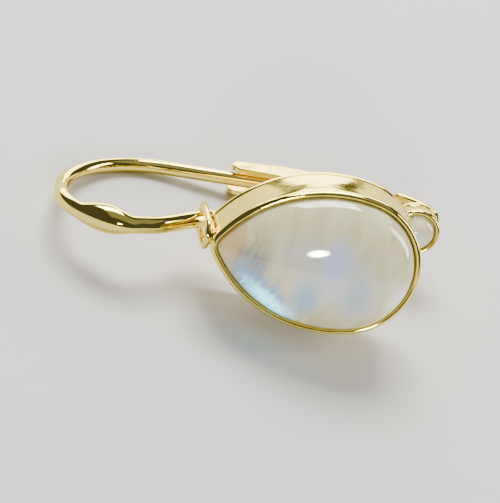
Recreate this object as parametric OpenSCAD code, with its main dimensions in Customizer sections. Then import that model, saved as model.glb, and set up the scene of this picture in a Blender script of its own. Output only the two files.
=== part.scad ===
// Leverback drop earring in polished yellow gold, with a pear-shaped moonstone
// cabochon in a deep plain setting and a small round moonstone at the foot.
// It lies on its side. Lengths are in millimetres.
//
// Each piece is first described as it is worn: +Z up towards the arch, +Y back
// towards the neck, -Y the way that the stones face, X across the ear. The zero
// point there is the tip of the pear-shaped rim. laid() then turns the whole
// earring onto its side, the arch towards -X, the stones towards -Y and a little up.

/* [Pear setting] */
// Radius of the round end of the pear outline
pear_end_r = 4.6; // [4.4:0.05:4.8]
// Radius of the two long sides
pear_side_r = 9; // [8.5:0.1:10]
// Radius of the blunt tip
pear_tip_r = 1.2; // [1:0.1:1.5]
// Distance from the centre of the tip to the centre of the round end
pear_span = 7.5; // [7.2:0.1:7.8]
// Depth of the setting from rim to back
setting_depth = 3.6; // [3.2:0.1:3.7]
// Thickness of the wall round the stone
setting_wall = 0.4; // [0.3:0.05:0.5]
// Thickness of the back plate
setting_back = 0.4; // [0.3:0.05:0.6]

/* [Pear stone] */
// How far the dome stands above the rim
stone_rise = 2.3; // [1.5:0.1:3]
// How far below the rim the dome begins
stone_seat = 0.3; // [0.2:0.05:0.5]
// Gap between a stone and its setting
stone_gap = 0.04; // [0.02:0.01:0.08]

/* [Oval ring] */
// Thickness of the ring's wire
ring_wire_d = 0.42; // [0.38:0.01:0.44]
// Radius of the ring's two round ends, along the middle of its wire
ring_end_r = 0.82; // [0.81:0.01:0.86]
// How far behind the rim the ring reaches
ring_reach = 5.72; // [5.72:0.02:5.9]

/* [Ear wire] */
// Thickness of the wire in front, beside the stone
wire_front_d = 1.1; // [1.04:0.02:1.12]
// Thickness of the wire over the top of the ear
wire_arch_d = 1.04; // [0.96:0.02:1.1]
// Thickness of the wire that goes through the ear
wire_back_d = 0.9; // [0.8:0.02:0.92]
// Thickness of the spindle-shaped swelling in front
bulge_d = 1.86; // [1.6:0.02:1.96]
// Radius of the bow in front
front_bow_r = 3.3; // [3.2:0.05:3.4]
// Radius of the bow at the back
back_bow_r = 7.5; // [7.4:0.05:7.6]
// Length of the straight run down to the point
post_run = 6.8; // [6.4:0.1:7]
// Length of the tapered point
point_run = 1.3; // [1:0.1:1.5]
// Lean of the front run, which goes back to pass behind the setting, in degrees
front_lean = 40; // [39:0.5:41]

/* [Strap and foot] */
// Width of the flat strap behind the setting
strap_w = 1.8; // [1.7:0.1:2.2]
// Thickness of the strap and of the foot plate
strap_t = 0.6; // [0.5:0.05:0.75]
// Outer radius of the small round setting
small_setting_r = 1.5; // [1.4:0.05:1.6]
// Depth of the small setting
small_setting_depth = 1.6; // [1.5:0.1:1.9]
// Wall of the small setting
small_wall = 0.3; // [0.25:0.05:0.35]
// Rise of the small stone's dome above its rim
small_rise = 0.6; // [0.4:0.1:0.8]

/* [Lever] */
// Length of the lever from the hinge pin to the top of the fork
lever_l = 9.4; // [9:0.1:9.6]
// Width of the lever
lever_w = 1.9; // [1.85:0.05:2]
// Width of the groove in the lever
groove_w = 1.24; // [1.2:0.02:1.28]
// Lean of the closed lever, its top to the back, in degrees
lever_lean = 4; // [3.5:0.5:4.5]
// Thickness of the hinge pin
pin_d = 0.6; // [0.5:0.05:0.65]

/* [How it lies] */
// Roll about the length, which lifts the faces of the stones, in degrees
lie_roll = 17.69; // [10:0.01:30]
// Pitch about the width, in degrees
lie_pitch = -6.98; // [-12:0.01:0]

/* [Hidden] */
$fn = 64;

// How far a cutting shape reaches past what it cuts: a little, or well clear of it
overlap = 0.02;
clear = 2;

// Neighbouring stretches of wire or strap reach this far into each other, and
// a bend is this much thicker than the straight stretches that end inside it
lap = 0.04;
swell = 0.004;

gold = "#d8b04a";
moonstone = "#cfcabb";

// Pear outline. On each side an arc of pear_side_r holds the end circle and the
// tip circle inside it and touches both. Its centre lies past the axis.
tip_z = -pear_tip_r;
end_z = tip_z - pear_span;
reach_end = pear_side_r - pear_end_r;
reach_tip = pear_side_r - pear_tip_r;
side_up = (pear_span ^ 2 + reach_end ^ 2 - reach_tip ^ 2) / (2 * pear_span);
side_x = sqrt(reach_end ^ 2 - side_up ^ 2);
side_z = end_z + side_up;
end_touch = -atan2(side_up, side_x);
tip_touch = atan2(tip_z - side_z, side_x);
dome_up = 0.65;
dome_z = end_z + dome_up;
dome_steps = 9;
girdle_inset = setting_wall + stone_gap;

// Oval ring that is soldered on the tip and hangs on the ear wire
ring_z = 0.12;
ring_front_y = 1.2;

// Ear wire, from the top of the strap upwards
upper_bend_r = 4;
lower_bend_r = 1.6;
lean_run = 3.1;
taper_run = 0.5;
arch_flat = 0.5;
front_y = 1.5;
bow_z = 5.2;
bend_back = (upper_bend_r + lower_bend_r) * (1 - cos(front_lean));
bend_drop = (upper_bend_r + lower_bend_r) * sin(front_lean);
strap_y = front_y + bend_back + lean_run * sin(front_lean);
strap_z = bow_z - bend_drop - lean_run * cos(front_lean);
root_run = 0.8;
bulge_r = bulge_d / 2;
bulge_down = 2.1;
bulge_up = 2.6;
bulge_y = front_y + 0.3;
bulge_z = bow_z + 1.2;
bulge_tilt = 22;
point_end_r = 0.2;

// Strap, from its top downwards
strap_run = 7.6;
strap_bend_r = 2;
strap_bend = 52;
strap_slant = 4.4;

// Foot: the small setting, the curved plate behind it, and the hinge at the
// plate's end. The plate starts this many degrees below level.
small_z = -14.1;
small_y = 8.1;
small_back = 0.3;
small_seat = 0.2;
small_stone_r = small_setting_r - small_wall - stone_gap;
foot_r = 3.3;
foot_lap = 0.3;
foot_y = small_y + small_setting_depth - foot_lap;
foot_z = small_z - small_setting_r + strap_t / 2 + foot_r;
plate_start = 16;
pin_off = 0.2;
pin_y = foot_y + foot_r - pin_off;
pin_z = foot_z + pin_off;
tongue_gap = 0.1;
tongue_w = groove_w - 2 * tongue_gap;
tongue_r = 0.75;
pin_seat_gap = 0.01;
pin_run_gap = 0.03;
pin_proud = 0.12;

// Lever, from the hinge pin upwards
lever_knuckle_r = 0.85;
lever_front = 0.75;
groove_back = 0.75;
web_t = 0.35;
web_start = 1.0;
fork_start = 6.6;
fork_back = 0.6;
fork_taper = 0.2;
lever_back = groove_back + web_t;

// These bring the laid earring down to the floor and its middle to X 0, Y 0
lie_lift = 4.673;
lie_shift_x = -3.331;
lie_shift_y = -5.581;

// Points of an arc in the plane of the outline
function arc(cx, cz, r, from, to, steps) =
    [for (i = [0:steps]) let(a = from + (to - from) * i / steps) [cx + r * cos(a), cz + r * sin(a)]];

function tail(points) = [for (i = [1:len(points) - 1]) points[i]];

// Right half of the outline, from the round end's lowest point up to the tip
function right_half(inset) = concat(
    arc(0, end_z, pear_end_r - inset, -90, end_touch, 8),
    tail(arc(-side_x, side_z, pear_side_r - inset, end_touch, tip_touch, 9)),
    tail(arc(0, tip_z, pear_tip_r - inset, tip_touch, 90, 3)));

function outline(inset) =
    let(half = right_half(inset), n = len(half))
    concat(half, [for (i = [n - 2:-1:1]) [-half[i][0], half[i][1]]]);

// The same outline as true arcs
module pear(inset) {
    low = end_z + (pear_end_r - inset) * sin(end_touch);
    high = tip_z + (pear_tip_r - inset) * sin(tip_touch);
    translate([0, end_z]) circle(r = pear_end_r - inset);
    translate([0, tip_z]) circle(r = pear_tip_r - inset);
    intersection() {
        translate([-side_x, side_z]) circle(r = pear_side_r - inset, $fn = 180);
        translate([side_x, side_z]) circle(r = pear_side_r - inset, $fn = 180);
        translate([-pear_side_r, low]) square([2 * pear_side_r, high - low]);
    }
}

// Gives a front outline a depth, from y to y + depth
module deep(y, depth) {
    translate([0, y + depth, 0]) rotate([90, 0, 0]) linear_extrude(depth) children();
}

// Turns a round shape that stands on +Z to face the back, at a point of the middle plane
module facing_back(y, z) {
    translate([0, y, z]) rotate([-90, 0, 0]) children();
}

// Gives a side outline, drawn as [y, z], a width across the ear
module across(width) {
    rotate([90, 0, 90]) translate([0, 0, -width / 2]) linear_extrude(width) children();
}

// A curved bar in the middle plane, round a centre, from one angle to another
module curved(r, from, to) {
    rotate([90, 0, 90]) rotate([0, 0, from]) rotate_extrude(angle = to - from) translate([r, 0]) children();
}

// Follows a wire upwards. Each step holds [length, turn, radius at start, radius at end].
// A turn of 0 is a straight run of that length. Any other turn is a bend of that
// radius through that many degrees, to the back if positive and to the front if negative.
module wire_path(steps, i = 0) {
    if (i < len(steps)) {
        size = steps[i][0];
        turn = steps[i][1];
        side = sign(turn);
        if (turn == 0) {
            translate([0, 0, -lap]) cylinder(h = size + 2 * lap, r1 = steps[i][2], r2 = steps[i][3]);
            translate([0, 0, size]) wire_path(steps, i + 1);
        } else {
            translate([0, side * size, 0])
                curved(size, side > 0 ? 180 - turn : 0, side > 0 ? 180 : -turn)
                    circle(r = steps[i][2] + swell);
            translate([0, side * size * (1 - cos(turn)), size * sin(abs(turn))])
                rotate([-turn, 0, 0]) wire_path(steps, i + 1);
        }
    }
}

module laid() {
    translate([lie_shift_x, lie_shift_y, lie_lift])
        rotate([0, lie_pitch, 0]) rotate([-lie_roll, 0, 0]) rotate([0, -90, 0]) children();
}

// The round wire: soldered root, lean, bow, arch, post and point
module wire() {
    front_r = wire_front_d / 2;
    arch_r = wire_arch_d / 2;
    back_r = wire_back_d / 2;
    translate([0, strap_y, strap_z - root_run]) wire_path([
        [root_run, 0, front_r, front_r],
        [lower_bend_r, -front_lean, front_r, front_r],
        [lean_run, 0, front_r, front_r],
        [upper_bend_r, front_lean, front_r, front_r],
        [taper_run, 0, front_r, arch_r],
        [front_bow_r, 90, arch_r, arch_r],
        [arch_flat, 0, arch_r, back_r],
        [back_bow_r, 90, back_r, back_r],
        [post_run, 0, back_r, back_r],
        [point_run, 0, back_r, point_end_r]]);
    post_y = front_y + front_bow_r + arch_flat + back_bow_r;
    point_z = bow_z + taper_run + front_bow_r - back_bow_r - post_run - point_run;
    translate([0, post_y, point_z]) sphere(r = point_end_r + swell);
}

// The swelling in the front of the wire: a spindle, mostly on the inside of the bow.
// Its side is one arc below the thickest place and a longer one above.
module bulge() {
    translate([0, bulge_y, bulge_z]) rotate([-bulge_tilt, 0, 0]) rotate_extrude()
        for (run = [-bulge_down, bulge_up]) {
            arc_r = (run ^ 2 + bulge_r ^ 2) / (2 * bulge_r);
            intersection() {
                translate([bulge_r - arc_r, 0]) circle(r = arc_r, $fn = 180);
                translate([0, min(run, 0)]) square([bulge_r + clear, abs(run)]);
            }
        }
}

// The flat strap that carries the foot, out of sight behind the pear setting
module strap() {
    translate([0, strap_y, strap_z]) {
        translate([-strap_w / 2, -strap_t / 2, -strap_run - lap]) cube([strap_w, strap_t, strap_run + lap]);
        translate([0, strap_bend_r, -strap_run]) {
            curved(strap_bend_r, 180, 180 + strap_bend)
                square([strap_t + 2 * swell, strap_w + 2 * swell], center = true);
            rotate([strap_bend, 0, 0])
                translate([-strap_w / 2, -strap_bend_r - strap_t / 2, -strap_slant])
                    cube([strap_w, strap_t, strap_slant + lap]);
        }
    }
}

// Side outline of the curved plate and the hinge tongue, centre of the curve at zero
module foot_side() {
    outer_r = foot_r + strap_t / 2;
    difference() {
        union() {
            difference() {
                intersection() {
                    circle(r = outer_r);
                    translate([0, -outer_r]) square(outer_r);
                }
                circle(r = foot_r - strap_t / 2);
            }
            translate([pin_y - foot_y, pin_z - foot_z]) circle(r = tongue_r);
        }
        translate([pin_y - foot_y, pin_z - foot_z]) circle(r = pin_d / 2 + pin_seat_gap);
    }
}

// The small setting, its curved plate and the hinge tongue, to which the plate narrows
module foot() {
    facing_back(small_y, small_z) difference() {
        cylinder(h = small_setting_depth, r = small_setting_r);
        translate([0, 0, -overlap])
            cylinder(h = small_setting_depth - small_back + overlap, r = small_setting_r - small_wall);
    }
    reach = foot_r + clear;
    translate([0, foot_y, foot_z]) difference() {
        across(lever_w) foot_side();
        for (side = [-1, 1]) translate([side * (tongue_w + clear) / 2, 0, 0])
            across(clear) polygon([[0, 0], [reach, -reach * tan(plate_start)], [reach, reach], [0, reach]]);
    }
}

module ear_wire() {
    color(gold) laid() {
        wire();
        bulge();
        strap();
        foot();
    }
}

module hinge_pin() {
    color(gold) laid()
        translate([0, pin_y, pin_z]) across(lever_w + 2 * pin_proud) circle(r = pin_d / 2);
}

// Side outline of the lever, pin at zero
module lever_side() {
    cap_r = (lever_front + fork_back) / 2;
    circle(r = lever_knuckle_r);
    polygon([[-lever_front, 0], [lever_front, 0], [lever_back, web_start], [lever_back, fork_start - fork_taper],
        [fork_back, lever_l - cap_r], [-lever_front, lever_l - cap_r]]);
    translate([fork_back - cap_r, lever_l - cap_r]) circle(r = cap_r);
}

// Grooved bar, open to the front, whose fork takes the point of the ear wire
module lever() {
    color(gold) laid() translate([0, pin_y, pin_z]) rotate([-lever_lean, 0, 0]) difference() {
        across(lever_w) lever_side();
        across(groove_w) polygon([[-clear, -clear], [clear, -clear], [clear, web_start],
            [groove_back, web_start], [groove_back, fork_start], [clear, fork_start],
            [clear, lever_l + clear], [-clear, lever_l + clear]]);
        across(lever_w + clear) circle(r = pin_d / 2 + pin_run_gap);
    }
}

// Round cabochon with a flat back, its dome a cap of a sphere
module small_stone() {
    base = small_setting_depth - small_back - stone_gap;
    cap_h = small_rise + small_seat;
    cap_r = (small_stone_r ^ 2 + cap_h ^ 2) / (2 * cap_h);
    color(moonstone) laid() facing_back(small_y, small_z) {
        translate([0, 0, small_seat]) cylinder(h = base - small_seat, r = small_stone_r);
        intersection() {
            translate([0, 0, cap_r - small_rise]) sphere(r = cap_r);
            translate([0, 0, -clear]) cylinder(h = clear + small_seat, r = small_stone_r);
        }
    }
}

// Deep straight-walled setting, closed at the back, with the oval ring on its tip
module drop_bezel() {
    floor_y = setting_depth - setting_back;
    back_end_y = ring_reach - ring_wire_d / 2 - ring_end_r;
    front_end_y = ring_front_y + ring_end_r;
    color(gold) laid() {
        difference() {
            deep(0, setting_depth) pear(0);
            deep(-overlap, floor_y + overlap) pear(setting_wall);
        }
        translate([0, 0, ring_z]) {
            translate([0, front_end_y, 0])
                rotate([0, 0, 180]) rotate_extrude(angle = 180) translate([ring_end_r, 0]) circle(d = ring_wire_d);
            translate([0, back_end_y, 0])
                rotate_extrude(angle = 180) translate([ring_end_r, 0]) circle(d = ring_wire_d);
            for (side = [-1, 1]) translate([side * ring_end_r, front_end_y, 0])
                rotate([-90, 0, 0]) cylinder(h = back_end_y - front_end_y, d = ring_wire_d);
        }
    }
}

// Pear cabochon: rings of the outline shrink towards the dome's top along an ellipse
module drop_stone() {
    edge = outline(girdle_inset);
    n = len(edge);
    base_y = setting_depth - setting_back - stone_gap;
    rings = concat([[base_y, 1]],
        [for (k = [0:dome_steps - 1]) let(a = 90 * k / dome_steps)
            [stone_seat - (stone_seat + stone_rise) * sin(a), cos(a)]]);
    points = concat(
        [for (ring = rings, p = edge) [p[0] * ring[1], ring[0], dome_z + (p[1] - dome_z) * ring[1]]],
        [[0, -stone_rise, dome_z]]);
    last = (len(rings) - 1) * n;
    faces = concat(
        [[for (i = [0:n - 1]) i]],
        [for (k = [0:len(rings) - 2], i = [0:n - 1]) let(j = (i + 1) % n)
            [(k + 1) * n + i, (k + 1) * n + j, k * n + j, k * n + i]],
        [for (i = [0:n - 1]) [last + (i + 1) % n, last + i, len(points) - 1]]);
    color(moonstone) laid() polyhedron(points, faces);
}

ear_wire();
hinge_pin();
lever();
small_stone();
drop_bezel();
drop_stone();
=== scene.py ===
import bmesh
import bpy
import numpy as np
from mathutils import Matrix, Vector


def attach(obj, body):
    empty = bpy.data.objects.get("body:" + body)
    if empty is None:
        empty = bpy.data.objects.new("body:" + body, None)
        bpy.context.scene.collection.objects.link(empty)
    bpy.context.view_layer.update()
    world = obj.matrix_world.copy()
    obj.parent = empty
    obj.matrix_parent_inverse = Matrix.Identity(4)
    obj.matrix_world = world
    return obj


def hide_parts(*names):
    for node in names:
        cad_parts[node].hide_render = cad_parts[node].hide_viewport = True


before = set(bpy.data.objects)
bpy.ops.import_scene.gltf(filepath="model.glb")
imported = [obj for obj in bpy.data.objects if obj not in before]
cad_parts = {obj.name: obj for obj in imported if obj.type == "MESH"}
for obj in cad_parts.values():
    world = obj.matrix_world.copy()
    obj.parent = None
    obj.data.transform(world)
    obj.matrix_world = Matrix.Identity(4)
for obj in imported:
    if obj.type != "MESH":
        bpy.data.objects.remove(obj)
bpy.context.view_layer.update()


# Ear wire
# One length of drawn gold wire, bent by hand: the strap behind the drop, the lean to the front
# and the swelling above it, the bow, the arch over the top of the ear, and the post, which is
# filed to a point. The strap is the same wire hammered flat, and the foot is soldered to it.

# Every piece is worked out in millimetres as the earring is worn: +Z is up, +Y goes to the back,
# X goes across the ear, and zero is the tip of the pear's rim. Angles are in degrees.
LIE_ROLL, LIE_PITCH = 17.69, -6.98
LIE_SHIFT = (-3.331, -5.581, 4.673)


def lying_turn(slant=0):
    """Turn from worn to lying: the length goes down onto -X, less a slant in the plane of the
    rim, then the whole is rolled about its length and pitched about its width."""
    return (Matrix.Rotation(np.radians(LIE_PITCH), 3, "Y")
            @ Matrix.Rotation(np.radians(-LIE_ROLL), 3, "X")
            @ Matrix.Rotation(np.radians(slant - 90), 3, "Y"))


def laid(points):
    """Worn places in millimetres to lying places in metres: turned, then moved so that the three
    resting points are on the floor and the middle is at zero."""
    return (np.asarray(points, float) @ np.array(lying_turn()).T + LIE_SHIFT) / 1000


def skin(name, rings, looped=False, sharp=40, flat_ends=False):
    """A closed surface over rings of worn points: faces of four corners join each ring to the
    next. A looped surface also joins the last ring to the first. Otherwise the two end rings are
    closed, by one flat face each if `flat_ends` is set, or else by a fan on their middle. Edges
    bent by more than `sharp` degrees stay sharp."""
    steps, around = rings.shape[:2]
    points = rings.reshape(-1, 3)
    ring, corner = np.meshgrid(np.arange(steps if looped else steps - 1), np.arange(around), indexing="ij")
    this, following = ring * around, (ring + 1) % steps * around
    beside = (corner + 1) % around
    faces = np.stack([this + corner, this + beside, following + beside, following + corner], axis=-1)
    faces = faces.reshape(-1, 4).tolist()
    first = np.arange(around)
    last = first + (steps - 1) * around
    if flat_ends:
        faces += [first.tolist(), last.tolist()]
    elif not looped:
        points = np.vstack([points, rings[0].mean(axis=0), rings[-1].mean(axis=0)])
        first_hub, last_hub = np.full(around, steps * around), np.full(around, steps * around + 1)
        faces += np.stack([np.roll(first, -1), first, first_hub], axis=-1).tolist()
        faces += np.stack([last, np.roll(last, -1), last_hub], axis=-1).tolist()
    mesh = bpy.data.meshes.new(name)
    mesh.from_pydata(laid(points).tolist(), [], faces)
    smooth = np.ones(len(faces), dtype=bool)
    if flat_ends:
        smooth[-2:] = False
    mesh.polygons.foreach_set("use_smooth", smooth)
    work = bmesh.new()
    work.from_mesh(mesh)
    bmesh.ops.remove_doubles(work, verts=work.verts, dist=1e-7)
    bmesh.ops.recalc_face_normals(work, faces=work.faces)
    work.to_mesh(mesh)
    work.free()
    mesh.set_sharp_from_angle(angle=np.radians(sharp))
    piece = bpy.data.objects.new(name, mesh)
    bpy.context.scene.collection.objects.link(piece)
    return piece


def fill(tree, node, sockets):
    """Gives a node's sockets what is named for each: a number or a colour is set on the socket,
    and another node's output is joined to it."""
    for socket, value in sockets.items():
        if isinstance(value, bpy.types.NodeSocket):
            tree.links.new(value, node.inputs[socket])
        else:
            node.inputs[socket].default_value = value


def shader_node(tree, kind, sockets=None, **settings):
    """A new node of a kind, with its settings made before its sockets are filled."""
    node = tree.nodes.new("ShaderNode" + kind)
    for setting, value in settings.items():
        setattr(node, setting, value)
    fill(tree, node, sockets or {})
    return node


def polished_gold():
    """14 karat yellow gold, polished by hand on a mop: a mirror with a soft wave in it, and here
    and there the fine haze that wear leaves, where it is a little paler and less sharp."""
    deep, pale = (0.86, 0.68, 0.12, 1), (0.91, 0.75, 0.20, 1)
    metal = bpy.data.materials.new("polished_gold")
    metal.use_nodes = True
    tree = metal.node_tree
    place = shader_node(tree, "TexCoord").outputs["Object"]
    haze = shader_node(tree, "TexNoise", {"Vector": place, "Scale": 420, "Detail": 4}).outputs["Fac"]
    wave = shader_node(tree, "TexNoise", {"Vector": place, "Scale": 900, "Detail": 1}).outputs["Fac"]
    tone = shader_node(tree, "Mix", {"Factor": haze, "A": deep, "B": pale}, data_type="RGBA")
    roughness = shader_node(tree, "MapRange", {
        "Value": haze, "From Min": 0.35, "From Max": 0.75, "To Min": 0.04, "To Max": 0.12})
    bump = shader_node(tree, "Bump", {"Height": wave, "Strength": 0.4, "Distance": 0.00002})
    fill(tree, tree.nodes["Principled BSDF"], {
        "Metallic": 1.0, "Specular Tint": (1.0, 0.91, 0.58, 1), "Base Color": tone.outputs["Result"],
        "Roughness": roughness.outputs["Result"], "Normal": bump.outputs["Normal"]})
    return metal


gold = polished_gold()


def finish_in_gold(piece, body, node):
    """Polishes a piece, fixes it to its body and lets it stand for its node of the frame."""
    piece.data.materials.append(gold)
    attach(piece, body)
    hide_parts(node)


def course(start, heading, runs, spacing):
    """Follows straight runs and bends in the middle plane, from a place [y, z] and a heading
    measured from straight up. A run is (length, turn): with a turn of 0 it is straight, otherwise
    it bends on that length as its radius, to the back if positive. The heading grows evenly
    along each bend, and the place is the running sum of short steps, each along the heading at
    its middle. Gives the distances along, the places and the headings in radians."""
    lengths = np.array([size if turn == 0 else size * np.radians(abs(turn)) for size, turn in runs])
    ends = np.concatenate([[0], np.cumsum(lengths)])
    angles = np.radians(heading + np.concatenate([[0], np.cumsum([turn for _, turn in runs])]))
    along = np.linspace(0, ends[-1], round(ends[-1] / spacing) + 1)
    headings = np.interp(along, ends, angles)
    middle = (headings[1:] + headings[:-1]) / 2
    steps = np.diff(along)[:, None] * np.stack([np.sin(middle), np.cos(middle)], axis=-1)
    return along, np.vstack([[start], start + np.cumsum(steps, axis=0)]), headings


def swept(places, headings, half_width, half_thick, power, around=40):
    """A section carried along a course: a superellipse of the given half width across the ear
    and half thickness in the middle plane, whose power goes from 2, round, to 14, nearly square."""
    turn = np.linspace(0, 2 * np.pi, around, endpoint=False)
    exponent = 2 / power[:, None]
    across = half_width[:, None] * np.sign(np.cos(turn)) * np.abs(np.cos(turn)) ** exponent
    out = half_thick[:, None] * np.sign(np.sin(turn)) * np.abs(np.sin(turn)) ** exponent
    y = places[:, :1] + out * np.cos(headings)[:, None]
    z = places[:, 1:] - out * np.sin(headings)[:, None]
    return np.stack([across, y, z], axis=-1)


def ease(value, low, high):
    """0 below low, 1 above high, and a smooth step between."""
    part = np.clip((value - low) / (high - low), 0, 1)
    return part * part * (3 - 2 * part)


STRAP_W, STRAP_T = 1.8, 0.6
STRAP_SLANT, STRAP_BEND_R, STRAP_BEND, STRAP_RUN = 4.6, 2.0, 52, 7.6
LOWER_BEND_R, LEAN_RUN, UPPER_BEND_R, LEAN = 1.6, 3.1, 4.0, 40
FRONT_Y, BOW_Z = 1.5, 5.2
FRONT_BOW_R, BACK_BOW_R, FLAT_RUN = 3.3, 7.5, 0.5
POST_RUN, POINT_RUN = 6.8, 1.3
FRONT_R, ARCH_R, POST_R, TIP_R = 0.55, 0.52, 0.45, 0.2
ROUND_POWER, FLAT_POWER = 2, 7
# Where it turns from flat to round, from the top of the strap; where it thins twice, from the
# start of the bow; and where it comes to its point, from the end of the post's straight run
TO_ROUND, TO_ARCH, TO_POST, TO_POINT = (-1.1, 0.05), (-0.4, 0.9), (5.4, 6.7), (0, 1.5)

# Its way, from the strap's foot in the small setting to the point of the post
lean, strap_bend, bends_r = np.radians(LEAN), np.radians(STRAP_BEND), LOWER_BEND_R + UPPER_BEND_R
strap_top = np.array([FRONT_Y + bends_r * (1 - np.cos(lean)) + LEAN_RUN * np.sin(lean),
                      BOW_Z - bends_r * np.sin(lean) - LEAN_RUN * np.cos(lean)])
strap_foot = strap_top + [
    STRAP_BEND_R * (1 - np.cos(strap_bend)) + STRAP_SLANT * np.sin(strap_bend),
    -STRAP_RUN - STRAP_BEND_R * np.sin(strap_bend) - STRAP_SLANT * np.cos(strap_bend)]
distance, places, headings = course(strap_foot, -STRAP_BEND, [
    (STRAP_SLANT, 0), (STRAP_BEND_R, STRAP_BEND), (STRAP_RUN, 0),
    (LOWER_BEND_R, -LEAN), (LEAN_RUN, 0), (UPPER_BEND_R, LEAN), (FLAT_RUN, 0),
    (FRONT_BOW_R, 90), (FLAT_RUN, 0), (BACK_BOW_R, 90), (POST_RUN, 0), (POINT_RUN, 0)], spacing=0.08)
past_strap = distance - STRAP_SLANT - STRAP_BEND_R * strap_bend - STRAP_RUN
past_lean = past_strap - bends_r * lean - LEAN_RUN
past_post = past_lean - 2 * FLAT_RUN - (FRONT_BOW_R + BACK_BOW_R) * np.pi / 2 - POST_RUN
rounding = ease(past_strap, *TO_ROUND)
radius = (FRONT_R - (FRONT_R - ARCH_R) * ease(past_lean, *TO_ARCH)
          - (ARCH_R - POST_R) * ease(past_lean, *TO_POST) - (POST_R - TIP_R) * ease(past_post, *TO_POINT))

SWELL_PLACE = (FRONT_Y + 0.3, BOW_Z + 1.2)
SWELL_R, SWELL_DOWN, SWELL_UP, SWELL_TILT = 0.93, 2.1, 2.6, 22
SWELL_REACH, BLEND_STEPS = 5, 17


def swelling(places, inward, radius, near):
    """How far the swelling stands out of the wire on the inside of the bow, on the outside and
    across the ear. It is a spindle on an axis of its own, which leans back: its radius follows
    one arc below the thickest place and a longer one above. The inside and the outside add or
    take off how far the axis lies aside of the wire. What passes the wire's radius is averaged
    along the wire with a bell-shaped weight, so that it starts and ends softly."""
    axis = np.array([np.sin(np.radians(SWELL_TILT)), np.cos(np.radians(SWELL_TILT))])
    up = (places - SWELL_PLACE) @ axis
    half_length = np.where(up < 0, SWELL_DOWN, SWELL_UP)
    arc_r = (half_length ** 2 + SWELL_R ** 2) / (2 * SWELL_R)
    spindle_r = SWELL_R - arc_r + np.sqrt(np.maximum(arc_r ** 2 - up ** 2, 0))
    spindle_r = np.where(near, spindle_r, 0).clip(0)
    aside = ((SWELL_PLACE + up[:, None] * axis - places) * inward).sum(axis=1)
    bell = np.hanning(BLEND_STEPS)
    sides = np.stack([spindle_r + aside, spindle_r - aside, spindle_r])
    proud = np.where(spindle_r > 0, np.maximum(sides - radius, 0), 0)
    return [np.convolve(side, bell / bell.sum(), mode="same") for side in proud]


inward = np.stack([np.cos(headings), -np.sin(headings)], axis=-1)
inside, outside, across = swelling(places, inward, radius, np.abs(past_lean) < SWELL_REACH)
places = places + (inside - outside)[:, None] / 2 * inward

# Its section: flat at the strap, whose soldered end is narrower, and a half ball at the point
NARROWED_BY, NARROWED_OVER, TIP_RINGS, TIP_FLAT = 0.42, 1.1, 8, 0.001
strap_half = STRAP_W / 2 - NARROWED_BY * (1 - ease(distance, 0, NARROWED_OVER))
half_width = (radius + across) * rounding + strap_half * (1 - rounding)
half_thick = (radius + (inside + outside) / 2) * rounding + STRAP_T / 2 * (1 - rounding)
power = ROUND_POWER * rounding + FLAT_POWER * (1 - rounding)
beyond = np.linspace(0.1, 1, TIP_RINGS)
tip_r = TIP_R * np.sqrt(1 - beyond ** 2) + TIP_FLAT
wire = skin("wire", swept(
    np.vstack([places, places[-1] + TIP_R * beyond[:, None] * [0, -1]]),
    np.append(headings, np.full(TIP_RINGS, headings[-1])),
    np.append(half_width, tip_r), np.append(half_thick, tip_r),
    np.append(power, np.full(TIP_RINGS, ROUND_POWER))))
finish_in_gold(wire, "frame", "ear_wire")


# Foot and small setting
# The curved plate that ends in the hinge's tongue, and the small round cup for the second
# stone, made up from sheet gold. Both are soldered to the end of the strap.

SMALL_Y, SMALL_Z, SMALL_R, SMALL_DEPTH = 8.1, -14.1, 1.5, 1.6
SMALL_WALL, SMALL_BACK, SMALL_LIP = 0.3, 0.3, 0.16
FOOT_R, FOOT_LAP, PIN_OFF = 3.3, 0.3, 0.2
PLATE_W, PLATE_ROOT_W, TONGUE_W, TONGUE_R, TONGUE_EDGE = 1.9, 1.2, 1.04, 0.75, 0.08
ROOT_SPREAD, TONGUE_NECK = (-4, 10), (68, 75)
foot_y, foot_z = SMALL_Y + SMALL_DEPTH - FOOT_LAP, SMALL_Z - SMALL_R + STRAP_T / 2 + FOOT_R
pin_y, pin_z = foot_y + FOOT_R - PIN_OFF, foot_z + PIN_OFF


def turned(profile, middle, across_ear, around=72):
    """A profile of [place along the axis, radius] turned round a line through the middle point,
    which runs across the ear, or else to the back."""
    along, radius = np.asarray(profile, float).T
    turn = np.linspace(0, 2 * np.pi, around, endpoint=False)
    length = np.repeat(along[:, None], around, axis=1)
    one, other = radius[:, None] * np.cos(turn), radius[:, None] * np.sin(turn)
    return np.stack([length, one, other] if across_ear else [one, length, other], axis=-1) + middle


def rounded(low, high, radius, edge):
    """Profile of a disc or rod from low to high, whose rims are quarter circles."""
    quarter = np.radians(np.linspace(0, 90, 6))
    rim = np.stack([edge * (1 - np.sin(quarter)), radius - edge * (1 - np.cos(quarter))], axis=-1)
    return np.vstack([[low, 0], rim[::-1] + [low, 0], rim * [-1, 1] + [high, 0], [high, 0]])


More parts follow.
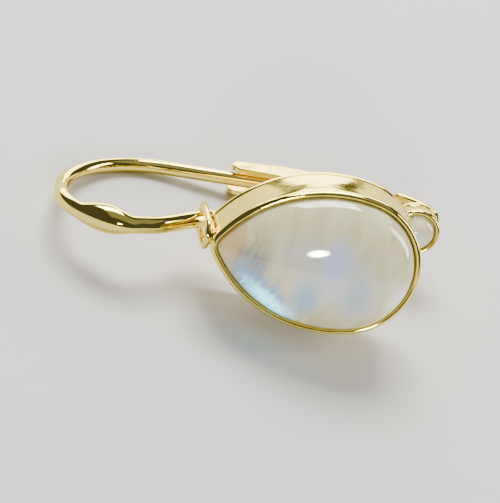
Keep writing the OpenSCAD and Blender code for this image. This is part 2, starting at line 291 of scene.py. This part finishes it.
def cup_profile(depth, wall, back, lip):
    """Profile of a setting as [inset from the outline, depth behind the rim], from the edge of
    the flat back, round the edge of the base sheet, in over its top, up the wall, over the lip
    that is pressed against the stone, and down the inside to the floor. The wall is filed
    hollow by a quarter of a sine. The lip is a quarter of an ellipse, and a quarter circle inside."""
    edge, hollow, sheet_step, wall_steps = 0.07, 0.05, 0.1, 7
    lip_height, wall_top, floor = 1.5 * lip, 1.7 * lip, depth - back
    quarter = np.radians(np.linspace(0, 90, 9))
    rim = np.stack([edge * (1 - np.sin(quarter)), depth - edge * (1 - np.cos(quarter))], axis=-1)
    sheet_top = [0, floor] + hollow * np.array([[0, 1], [0.4, 0.25], [1, 0]])
    filed = np.stack([hollow * np.sin(np.linspace(np.pi / 2, 0, wall_steps)),
                      np.linspace(floor - sheet_step, wall_top, wall_steps)], axis=-1)
    over = np.stack([lip * (1 - np.cos(quarter)), lip_height * (1 - np.sin(quarter))], axis=-1)
    inner = np.stack([lip + (wall - lip) * np.sin(quarter), (wall - lip) * (1 - np.cos(quarter))], axis=-1)
    return np.vstack([rim, sheet_top, filed, over, inner[1:], [[wall, floor]]])


plate_along, plate_places, plate_headings = course(
    (foot_y, foot_z - FOOT_R), 90, [(FOOT_R, -90)], spacing=0.1)
round_the_plate = np.degrees(plate_along / FOOT_R)
plate_half = (PLATE_ROOT_W / 2 + (PLATE_W - PLATE_ROOT_W) / 2 * ease(round_the_plate, *ROOT_SPREAD)
              - (PLATE_W - TONGUE_W) / 2 * ease(round_the_plate, *TONGUE_NECK))
plate = skin("foot_plate", swept(
    plate_places, plate_headings, plate_half,
    np.full_like(plate_half, STRAP_T / 2), np.full_like(plate_half, FLAT_POWER)))
tongue = skin("hinge_tongue", turned(
    rounded(-TONGUE_W / 2, TONGUE_W / 2, TONGUE_R, TONGUE_EDGE), (0, pin_y, pin_z), True))

small_cup = np.vstack([
    [[SMALL_R, SMALL_DEPTH]], cup_profile(SMALL_DEPTH, SMALL_WALL, SMALL_BACK, SMALL_LIP),
    [[SMALL_R, SMALL_DEPTH - SMALL_BACK]]])
small_setting = skin("small_setting", turned(
    np.stack([small_cup[:, 1], SMALL_R - small_cup[:, 0]], axis=-1), (0, SMALL_Y, SMALL_Z), False))
for piece in (plate, tongue, small_setting):
    finish_in_gold(piece, "frame", "ear_wire")


# Hinge pin
# A bit of gold wire through the tongue and the lever's cheeks. Its ends stand a little proud of
# the cheeks and are burred over.

PIN_R, PIN_PROUD, BURR_R, BURR_EDGE, BURR_CLEAR = 0.3, 0.12, 0.36, 0.06, 0.005
pin_end, burr_start = PLATE_W / 2 + PIN_PROUD, PLATE_W / 2 + BURR_CLEAR
pin_profile = np.vstack([
    rounded(-pin_end, -burr_start, BURR_R, BURR_EDGE)[:-1], [[-burr_start, PIN_R], [burr_start, PIN_R]],
    rounded(burr_start, pin_end, BURR_R, BURR_EDGE)[1:]])
pin = skin("burred_pin", turned(pin_profile, (0, pin_y, pin_z), True))
finish_in_gold(pin, "frame", "hinge_pin")


# Lever
# The catch of the ear wire: a bar of gold, grooved along its front, that turns on the pin. Its
# upper end is a fork that closes on the point of the post. Two cheeks are joined by a web.

LEVER_L, LEVER_W, GROOVE_W, LEVER_LEAN = 9.4, PLATE_W, 1.24, 4
KNUCKLE_R, CHEEK_FRONT, CHEEK_BACK, FORK_BACK = 0.85, 0.75, 1.1, 0.6
INNER_EDGE, OUTER_EDGE, FACE_EDGE = 0.03, 0.1, 0.04
# The back edge of a cheek [y, z], downwards: the fork's foot, then the two ends of the straight
BACK_EDGE = [(CHEEK_BACK - 0.04, 6.55), (CHEEK_BACK, 6.3), (CHEEK_BACK, 1.05)]
WEB_Y, WEB_HALF_W, WEB_POWER = 0.925, 0.72, 14
# Height up the lever and half thickness of the web, whose two ends are rounded
WEB_ROWS = [(1.0, 0.12), (1.06, 0.16), (1.2, 0.175), (6.3, 0.175), (6.42, 0.16), (6.48, 0.12)]


def drawn_in(outline, amount):
    """An outline moved in: each point goes along the mean of its two sides' normals, so far
    that both sides move in by the amount. The outline runs clockwise."""
    side = np.roll(outline, -1, axis=0) - outline
    normal = np.stack([side[:, 1], -side[:, 0]], axis=-1) / np.linalg.norm(side, axis=1)[:, None]
    both = normal + np.roll(normal, 1, axis=0)
    both /= (both ** 2).sum(axis=1)[:, None] / 2
    return outline + amount * both


def on_lever(y, z):
    """Place on the closed lever, pin at zero, to worn place [y, z]: turned by its lean."""
    tilt = np.radians(LEVER_LEAN)
    return pin_y + y * np.cos(tilt) + z * np.sin(tilt), pin_z - y * np.sin(tilt) + z * np.cos(tilt)


def side_arc(radius, y, z, start, end):
    """Points of an arc in the side view, its angles measured from the back."""
    turn = np.radians(np.linspace(start, end, 28))
    return np.stack([y + radius * np.cos(turn), z + radius * np.sin(turn)], axis=-1)


def cheek_ring(outline, across, inset):
    """A cheek's outline, drawn in by an inset, at a distance from the middle plane."""
    y, z = on_lever(*drawn_in(outline, inset).T)
    return np.stack([np.full_like(y, across), y, z], axis=-1)


cap_r = (CHEEK_FRONT + FORK_BACK) / 2
knuckle_meets = np.degrees(np.arccos(CHEEK_FRONT / KNUCKLE_R))
cheek_outline = np.vstack([
    side_arc(cap_r, FORK_BACK - cap_r, LEVER_L - cap_r, 180, 0), BACK_EDGE,
    side_arc(KNUCKLE_R, 0, 0, knuckle_meets, -180 - knuckle_meets)])
quarter = np.radians(np.linspace(0, 90, 6))
outer_round = [LEVER_W / 2, 0] + OUTER_EDGE * np.stack([np.sin(quarter) - 1, 1 - np.cos(quarter)], axis=-1)
cheek_rows = np.vstack([
    [[GROOVE_W / 2, 2 * INNER_EDGE], [GROOVE_W / 2, INNER_EDGE], [GROOVE_W / 2 + INNER_EDGE, 0]],
    outer_round, [[LEVER_W / 2, OUTER_EDGE + FACE_EDGE]]])
cheek = np.array([cheek_ring(cheek_outline, across, inset) for across, inset in cheek_rows])
web_up, web_half = np.array(WEB_ROWS).T
same = np.ones_like(web_up)
web = swept(np.stack(on_lever(WEB_Y * same, web_up), axis=-1), np.radians(LEVER_LEAN) * same,
            WEB_HALF_W * same, web_half, WEB_POWER * same)
for name, rings in (("lever_cheek_right", cheek), ("lever_cheek_left", cheek * [-1, 1, 1]),
                    ("lever_web", web)):
    finish_in_gold(skin(name, rings, flat_ends=True), "lever", "lever")


# Pear setting
# A deep cup with straight walls and a flat back, made up from sheet gold. The thin top of the
# wall is pressed over the edge of the stone all the way round.

END_R, SIDE_R, PEAR_TIP_R, SPAN = 4.6, 9.0, 1.2, 7.5
PEAR_DEPTH, PEAR_WALL, PEAR_BACK, PEAR_LIP = 3.6, 0.4, 0.4, 0.21
tip_z = -PEAR_TIP_R
end_z = tip_z - SPAN
side_up = (SPAN ** 2 + (SIDE_R - END_R) ** 2 - (SIDE_R - PEAR_TIP_R) ** 2) / (2 * SPAN)
side_x = np.sqrt((SIDE_R - END_R) ** 2 - side_up ** 2)
end_touch = -np.arctan2(side_up, side_x)
tip_touch = np.arctan2(SPAN - side_up, side_x)


def pear(inset):
    """The pear outline [x, z] drawn in by an inset. On each side an arc of the long side's radius
    touches the end circle and the tip circle; the inset is taken off all three radii. The points
    run from the lowest one up the right side, over the tip and down the left side."""
    def arc(x, z, radius, start, end, count):
        turn = np.linspace(start, end, count)
        return np.stack([x + (radius - inset) * np.cos(turn), z + (radius - inset) * np.sin(turn)], axis=-1)
    half = np.vstack([
        arc(0, end_z, END_R, -np.pi / 2, end_touch, 40),
        arc(-side_x, end_z + side_up, SIDE_R, end_touch, tip_touch, 48)[1:],
        arc(0, tip_z, PEAR_TIP_R, tip_touch, np.pi / 2, 18)[1:]])
    return np.vstack([half, half[-2:0:-1] * [-1, 1]])


def lofted(levels):
    """Rings of [x, z] outlines, each at its own depth y."""
    return np.array([np.insert(ring, 1, y, axis=1) for ring, y in levels])


pear_cup = cup_profile(PEAR_DEPTH, PEAR_WALL, PEAR_BACK, PEAR_LIP)
setting = skin("pear_setting", lofted([(pear(inset), y) for inset, y in pear_cup]), flat_ends=True)
finish_in_gold(setting, "frame", "drop_bezel")


# Oval ring
# A link of gold wire, bent to an oval and soldered upright on the tip of the setting. The ear
# wire goes through it behind the setting.

RING_WIRE_R, RING_END_R, RING_Z = 0.21, 0.82, 0.12
RING_FRONT_Y, RING_BACK_Y = 1.2, 5.72
ring_turn = np.radians(np.linspace(-180, 0, 33))
half_ring = np.stack([np.cos(ring_turn), np.sin(ring_turn)], axis=-1)
ring_out = np.vstack([half_ring, -half_ring])
ring_middle = np.repeat([[0, RING_FRONT_Y + RING_END_R], [0, RING_BACK_Y - RING_WIRE_R - RING_END_R]],
                        len(half_ring), axis=0)
round_wire = np.linspace(0, 2 * np.pi, 28, endpoint=False)
ring_reach = RING_END_R + RING_WIRE_R * np.cos(round_wire)
ring_flat = ring_middle[:, None, :] + ring_out[:, None, :] * ring_reach[None, :, None]
ring_up = np.broadcast_to(RING_Z + RING_WIRE_R * np.sin(round_wire), ring_flat.shape[:2])
oval_ring = skin("oval_ring", np.concatenate([ring_flat, ring_up[..., None]], axis=-1), looped=True)
finish_in_gold(oval_ring, "frame", "drop_bezel")


# Stones
# Two moonstone cabochons with flat backs, polished to a full gloss and held by the lips of their
# settings. The stone is milky grey and beige with clouds in it. A painted blue-white sheen, with a
# painted glow, lies along one side of the pear near its tip, and a fainter one on the small stone.

STONE_RISE, STONE_SEAT, STONE_GAP, DOME_UP, DOME_STEPS = 2.3, 0.3, 0.04, 0.65, 40
SMALL_RISE, SMALL_SEAT = 0.6, 0.2


def moonstone(name, tints_and_painted_sheens, cloud_scale):
    """Milky feldspar: light goes a little way in and comes out soft. The milk is in clouds,
    drawn out along its layers. Each row paints an egg-shaped cloud of colour on the stone,
    which fades from its middle to its edge and is broken up by fine feathers. Most rows are
    painted sheen, the stone's blue play of light set down as fixed colour; a few are the stone's
    own tints. A row holds its worn place, its three half lengths in millimetres, its slant in
    the plane of the rim, its colour, how far it covers the milk, and the strength of the painted
    glow that it gives off by itself."""
    milk = [(0.34, (0.54, 0.51, 0.28, 1)), (0.5, (0.64, 0.61, 0.34, 1)), (0.68, (0.73, 0.71, 0.45, 1))]
    stone = bpy.data.materials.new(name)
    stone.use_nodes = True
    tree = stone.node_tree
    place = shader_node(tree, "TexCoord").outputs["Object"]
    layers = shader_node(tree, "Mapping", {
        "Vector": place, "Rotation": lying_turn().to_euler(), "Scale": (2.4, 1.6, 0.8)},
        vector_type="TEXTURE")
    cloud = shader_node(tree, "TexNoise", {
        "Vector": layers.outputs["Vector"], "Scale": cloud_scale, "Detail": 5, "Distortion": 0.6})
    ramp = shader_node(tree, "ValToRGB", {"Fac": cloud.outputs["Fac"]})
    ramp.color_ramp.elements.new(0.5)
    for stop, (position, tint) in zip(ramp.color_ramp.elements, milk):
        stop.position = position
        stop.color = tint
    colour, painted_glow = ramp.outputs["Color"], (0, 0, 0, 1)
    for centre, half, slant, tint, cover, painted_glow_strength in tints_and_painted_sheens:
        egg = shader_node(tree, "Mapping", {
            "Vector": place, "Location": laid([centre])[0], "Rotation": lying_turn(slant).to_euler(),
            "Scale": np.array(half) / 1000}, vector_type="TEXTURE").outputs["Vector"]
        far = shader_node(tree, "VectorMath", {0: egg}, operation="LENGTH")
        drawn_out = shader_node(tree, "Mapping", {"Vector": egg, "Scale": (0.8, 1.0, 6.0)})
        feather = shader_node(tree, "TexNoise", {
            "Vector": drawn_out.outputs["Vector"], "Scale": 1.6, "Detail": 4})
        ragged = shader_node(tree, "Math", {
            0: feather.outputs["Fac"], 1: 0.9, 2: far.outputs["Value"]}, operation="MULTIPLY_ADD")
        fade = shader_node(tree, "MapRange", {
            "Value": ragged.outputs["Value"], "From Min": 0.70, "From Max": 1.55,
            "To Min": cover, "To Max": 0.0}, interpolation_type="SMOOTHSTEP").outputs["Result"]
        colour = shader_node(tree, "Mix", {
            "Factor": fade, "A": colour, "B": (*tint, 1)}, data_type="RGBA").outputs["Result"]
        # Rows with a glow strength also paint their colour into the emission: a painted glow.
        if painted_glow_strength:
            painted_glow = shader_node(tree, "Mix", {
                "Factor": fade, "A": painted_glow, "B": (*(painted_glow_strength * part for part in tint), 1)},
                data_type="RGBA").outputs["Result"]
    fill(tree, tree.nodes["Principled BSDF"], {
        "Base Color": colour, "Roughness": 0.06, "IOR": 1.53, "Coat Weight": 0.5, "Coat Roughness": 0.03,
        "Subsurface Weight": 0.35, "Subsurface Radius": (1.0, 0.95, 0.9), "Subsurface Scale": 0.0005,
        "Emission Color": painted_glow, "Emission Strength": 1.0})
    return stone


# The pear stone: rings of the outline shrink towards the dome's top along an ellipse
girdle = pear(PEAR_WALL + STONE_GAP)
dome_middle = np.array([0, end_z + DOME_UP])
rise = np.radians(np.linspace(0, 90, DOME_STEPS, endpoint=False))
dome_height = STONE_SEAT + STONE_RISE
stone_levels = [(girdle, PEAR_DEPTH - PEAR_BACK - STONE_GAP)] + [
    ((girdle - dome_middle) * np.cos(angle) + dome_middle, STONE_SEAT - dome_height * np.sin(angle))
    for angle in rise]
pear_stone = skin("pear_moonstone", lofted(stone_levels), sharp=60)
# Painted sheen: the grey-blue haze, the two blue blotches and the lavender patch (rows 1 to 4), and the
# dark grey-blue fringe, blue halo, pale end and bright core along the side (rows 7 to 10), the last three
# with a painted glow. Rows 5 and 6 are the stone's own white speck, which has a faint painted glow, and its
# brown tip.
pear_tints_and_painted_sheens = [  # worn place, half lengths, slant, colour, cover, light of its own
    ((-0.3, -2.0, -7.6), (2.8, 2.4, 4.4), 15, (0.60, 0.63, 0.70), 0.75, 0),
    ((-1.8, -1.5, -6.1), (1.7, 1.8, 1.2), 0, (0.22, 0.47, 0.68), 0.8, 0),
    ((-1.2, -1.6, -9.2), (2.0, 1.8, 1.4), 0, (0.30, 0.42, 0.52), 0.7, 0),
    ((0.9, -1.9, -7.5), (1.8, 1.6, 1.2), 10, (0.46, 0.53, 0.92), 0.75, 0),
    ((-1.2, -0.9, -11.9), (1.4, 2.0, 0.9), 30, (0.88, 0.89, 0.86), 0.8, 0.04),
    ((0.5, -0.4, -1.3), (1.9, 2.2, 1.4), 0, (0.62, 0.45, 0.20), 0.9, 0),
    ((-0.6, -0.8, -2.5), (2.0, 2.6, 1.5), 20, (0.15, 0.20, 0.28), 0.8, 0),
    ((-2.0, -0.6, -3.6), (1.4, 2.2, 3.0), 34, (0.18, 0.36, 0.64), 1.0, 0.2),
    ((-3.0, -0.4, -5.2), (1.0, 1.6, 1.4), 34, (0.52, 0.66, 0.92), 0.9, 0.5),
    ((-2.45, -0.4, -3.9), (0.78, 1.7, 2.4), 34, (0.24, 0.86, 1.0), 1.0, 2.3)]
pear_stone.data.materials.append(moonstone("pear_moonstone", pear_tints_and_painted_sheens, cloud_scale=650))
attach(pear_stone, "frame")
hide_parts("drop_stone")

# The small stone: a cap of a ball on a short round side
small_stone_r = SMALL_R - SMALL_WALL - STONE_GAP
cap_height = SMALL_RISE + SMALL_SEAT
ball_r = (small_stone_r ** 2 + cap_height ** 2) / (2 * cap_height)
open_by = np.linspace(0, np.arcsin(small_stone_r / ball_r), 20)
small_profile = np.vstack([
    np.stack([ball_r - SMALL_RISE - ball_r * np.cos(open_by), ball_r * np.sin(open_by)], axis=-1),
    [[SMALL_DEPTH - SMALL_BACK - STONE_GAP, small_stone_r]]])
small_stone = skin("small_moonstone", turned(small_profile, (0, SMALL_Y, SMALL_Z), False), sharp=60)
# A painted pale-blue sheen on the small stone, with a faint painted glow.
small_painted_sheen = [((-0.3, SMALL_Y - 0.4, SMALL_Z + 0.2), (0.9, 0.9, 0.9), 0, (0.55, 0.64, 0.88), 0.9, 0.05)]
small_stone.data.materials.append(moonstone("small_moonstone", small_painted_sheen, cloud_scale=500))
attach(small_stone, "frame")
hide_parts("small_stone")


# Floor, light and camera
# A plain pale floor, soft boxes round it, and the camera at the angle of the photograph, close
# enough for the earring to fill the picture. Lengths are in metres.

FLOOR_HALF = 2
PAPER, SKY = (0.62, 0.61, 0.59, 1), (0.80, 0.84, 0.90, 1)

floor_mesh = bpy.data.meshes.new("floor")
floor_corners = FLOOR_HALF * np.array([(-1, -1, 0), (1, -1, 0), (1, 1, 0), (-1, 1, 0)])
floor_mesh.from_pydata(floor_corners.tolist(), [], [(0, 1, 2, 3)])
floor = bpy.data.objects.new("floor", floor_mesh)
bpy.context.scene.collection.objects.link(floor)
paper = bpy.data.materials.new("pale_paper")
paper.use_nodes = True
fill(paper.node_tree, paper.node_tree.nodes["Principled BSDF"], {"Base Color": PAPER, "Roughness": 0.9})
floor_mesh.materials.append(paper)

room = bpy.data.worlds.new("room")
room.use_nodes = True
fill(room.node_tree, room.node_tree.nodes["Background"], {"Color": SKY, "Strength": 0.10})
bpy.context.scene.world = room

stone_place = Vector(laid([(0.5, -1, -6)])[0])


def soft_box(name, direction, away, size, watts, colour, shape="RECTANGLE", roll=0):
    """A flat lamp at a distance from the pear stone, turned towards it and rolled."""
    lamp = bpy.data.lights.new(name, "AREA")
    lamp.shape = shape
    lamp.size, lamp.size_y = size
    lamp.energy = watts
    lamp.color = colour
    box = bpy.data.objects.new(name, lamp)
    box.location = stone_place + Vector(direction).normalized() * away
    facing = (stone_place - box.location).to_track_quat("-Z", "Y")
    box.rotation_euler = (facing.to_matrix() @ Matrix.Rotation(np.radians(roll), 3, "Z")).to_euler()
    box.visible_camera = False
    bpy.context.scene.collection.objects.link(box)


soft_box("front_box", (-0.07, -0.93, 0.35), 0.30, (0.044, 0.034), 0.8, (1.0, 0.98, 0.95), "ELLIPSE", 45)
soft_box("top_box", (-0.15, 0.70, 1.0), 0.30, (0.20, 0.14), 2.0, (1.0, 0.98, 0.95))
soft_box("back_box", (0.0, 1.0, 0.22), 0.34, (0.34, 0.13), 1.3, (1.0, 0.97, 0.90))
soft_box("fill_box", (0.1, 0.0, 1.0), 0.9, (1.1, 1.1), 1.0, (0.97, 0.98, 1.0))
soft_box("side_box", (1.0, 0.25, 0.45), 0.35, (0.08, 0.25), 0.9, (1.0, 0.95, 0.88))

# The camera's right and line of sight, the field that it takes in, and how far away it stands.
# It aims a little beside the tip of the pear's rim.
FIELD, AWAY, SENSOR = 0.031, 0.40, 36
AIM_RIGHT, AIM_UP = 0.0024, -0.0004
right = Vector((0.9395, -0.0333, 0.3401)).normalized()
look = Vector((0.2370, 0.7808, -0.5782)).normalized()
up = right.cross(look).normalized()
aim = Vector(laid([(0, 0, 0)])[0]) + right * AIM_RIGHT + up * AIM_UP
camera = bpy.data.objects.new("camera", bpy.data.cameras.new("camera"))
camera.data.sensor_width = SENSOR
camera.data.lens = SENSOR * AWAY / FIELD
camera.matrix_world = Matrix.Translation(aim - look * AWAY) @ Matrix(
    (right, up, -look)).transposed().to_4x4()
bpy.context.scene.collection.objects.link(camera)
bpy.context.scene.camera = camera
